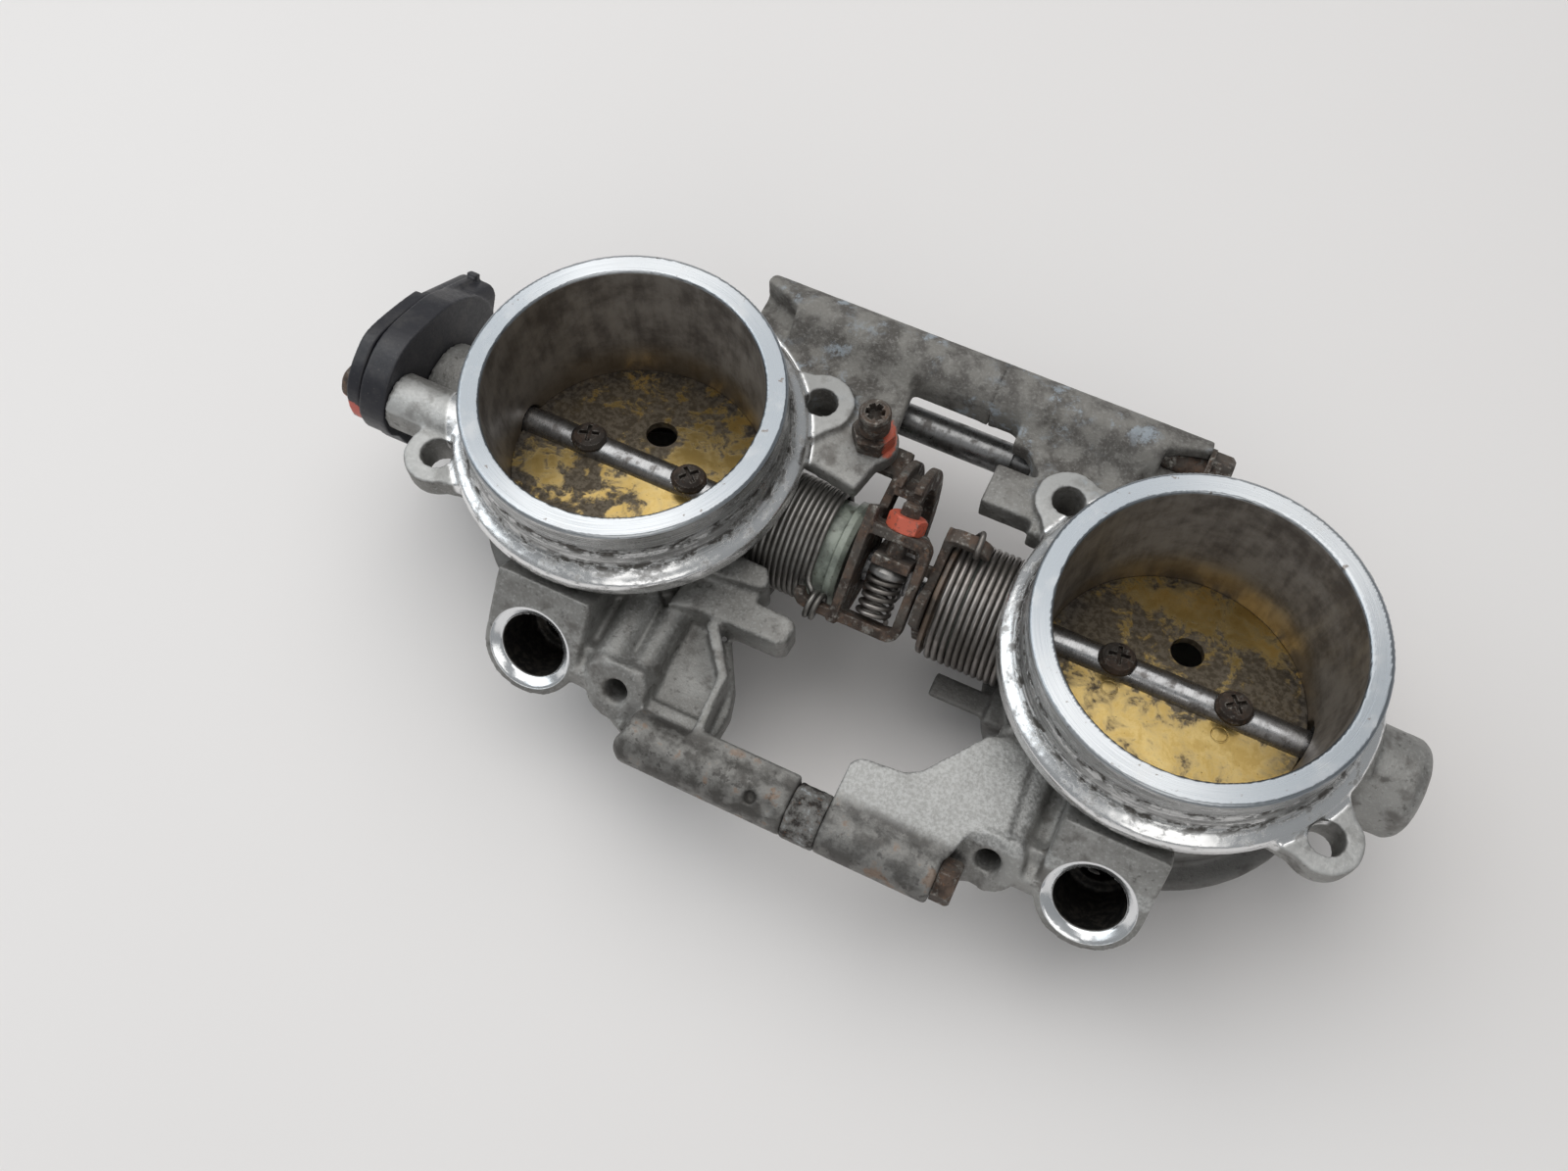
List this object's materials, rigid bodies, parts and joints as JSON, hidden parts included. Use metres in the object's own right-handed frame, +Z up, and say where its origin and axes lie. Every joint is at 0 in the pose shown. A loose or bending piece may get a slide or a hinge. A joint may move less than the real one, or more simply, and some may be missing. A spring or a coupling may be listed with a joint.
{
  "type": "throttle body",
  "caption": "Twin-barrel throttle body: two castings tied side by side, brass plates on linked shafts, return springs, cable quadrant, idle stop and position sensor.",
  "frame": {"origin": "axis of the left bore in the plane of the air-inlet rim", "axes": "+Z up out of the air inlets along the bore axes, +X along the throttle shafts from the left bore (position sensor side) to the right bore, +Y from the injector side to the cross rail"},
  "size_m": [0.2306, 0.1071, 0.062],
  "materials": {
    "casting": "cast, machined on the rims",
    "corroded_steel": "corroded",
    "rusty_steel": "brown surface rust",
    "polished_steel": "ground",
    "zinc_steel": "dull zinc",
    "plate_brass": "stained",
    "bush_bronze": "sintered",
    "paint_marked": "orange paint mark over steel",
    "spring_steel": "bright wire",
    "dark_spring": "dark wire",
    "nylon": "translucent off-white",
    "sensor_plastic": "satin black",
    "seal_rubber": "matt",
    "contact_brass": "tinned"
  },
  "bodies": {
    "castings": {"left_housing": "casting", "right_housing": "casting", "front_tie_collar": "corroded_steel", "front_tie_bolt": "rusty_steel", "rear_tie_bolt": "rusty_steel", "rear_tie_washer": "rusty_steel", "balance_tube": "polished_steel", "balance_tube_orings": "seal_rubber", "left_shaft_bushes": "bush_bronze", "right_shaft_bushes": "bush_bronze", "shaft_seals": "seal_rubber", "left_return_spring": "dark_spring", "right_return_spring": "spring_steel", "left_spring_bush": "nylon", "right_spring_bush": "nylon", "idle_stop_locknut": "paint_marked", "tps_housing": "sensor_plastic", "tps_cover": "sensor_plastic", "tps_seal": "seal_rubber", "tps_screws": "paint_marked", "tps_washers": "zinc_steel", "tps_pins": "contact_brass"},
    "left_valve": {"left_shaft": "polished_steel", "left_throttle_plate": "plate_brass", "left_plate_screws": "rusty_steel", "left_lever": "rusty_steel", "cable_quadrant": "rusty_steel", "left_shaft_collar": "zinc_steel", "sync_locknut": "paint_marked", "sync_spring": "spring_steel", "tps_rotor": "sensor_plastic"},
    "right_valve": {"right_shaft": "polished_steel", "right_throttle_plate": "plate_brass", "right_plate_screws": "rusty_steel", "right_lever": "rusty_steel", "sync_spring_cup": "zinc_steel"},
    "idle_screw": {"idle_stop_screw": "rusty_steel"},
    "sync_adjuster": {"sync_screw": "rusty_steel"}
  },
  "joints": [
    {"name": "left_throttle", "type": "hinge", "parent": "castings", "child": "left_valve", "pos_m": [0.06, 0, -0.0311], "axis": [-1, 0, 0], "range_deg": [0, 80], "deforming": ["left_return_spring"]},
    {"name": "right_throttle", "type": "hinge", "parent": "castings", "child": "right_valve", "pos_m": [0.06, 0, -0.0311], "axis": [-1, 0, 0], "range_deg": [0, 80], "deforming": ["right_return_spring"]},
    {"name": "idle_adjust", "type": "slide", "parent": "castings", "child": "idle_screw", "axis": [0, 0, 1], "range_m": [0, 0.003]},
    {"name": "sync_adjust", "type": "slide", "parent": "left_valve", "child": "sync_adjuster", "axis": [0, 0.766, 0.6428], "range_m": [0, 0.0015]}
  ],
  "couplings": [
    {"joint": "right_throttle", "follows": "left_throttle", "ratio": 1}
  ]
}
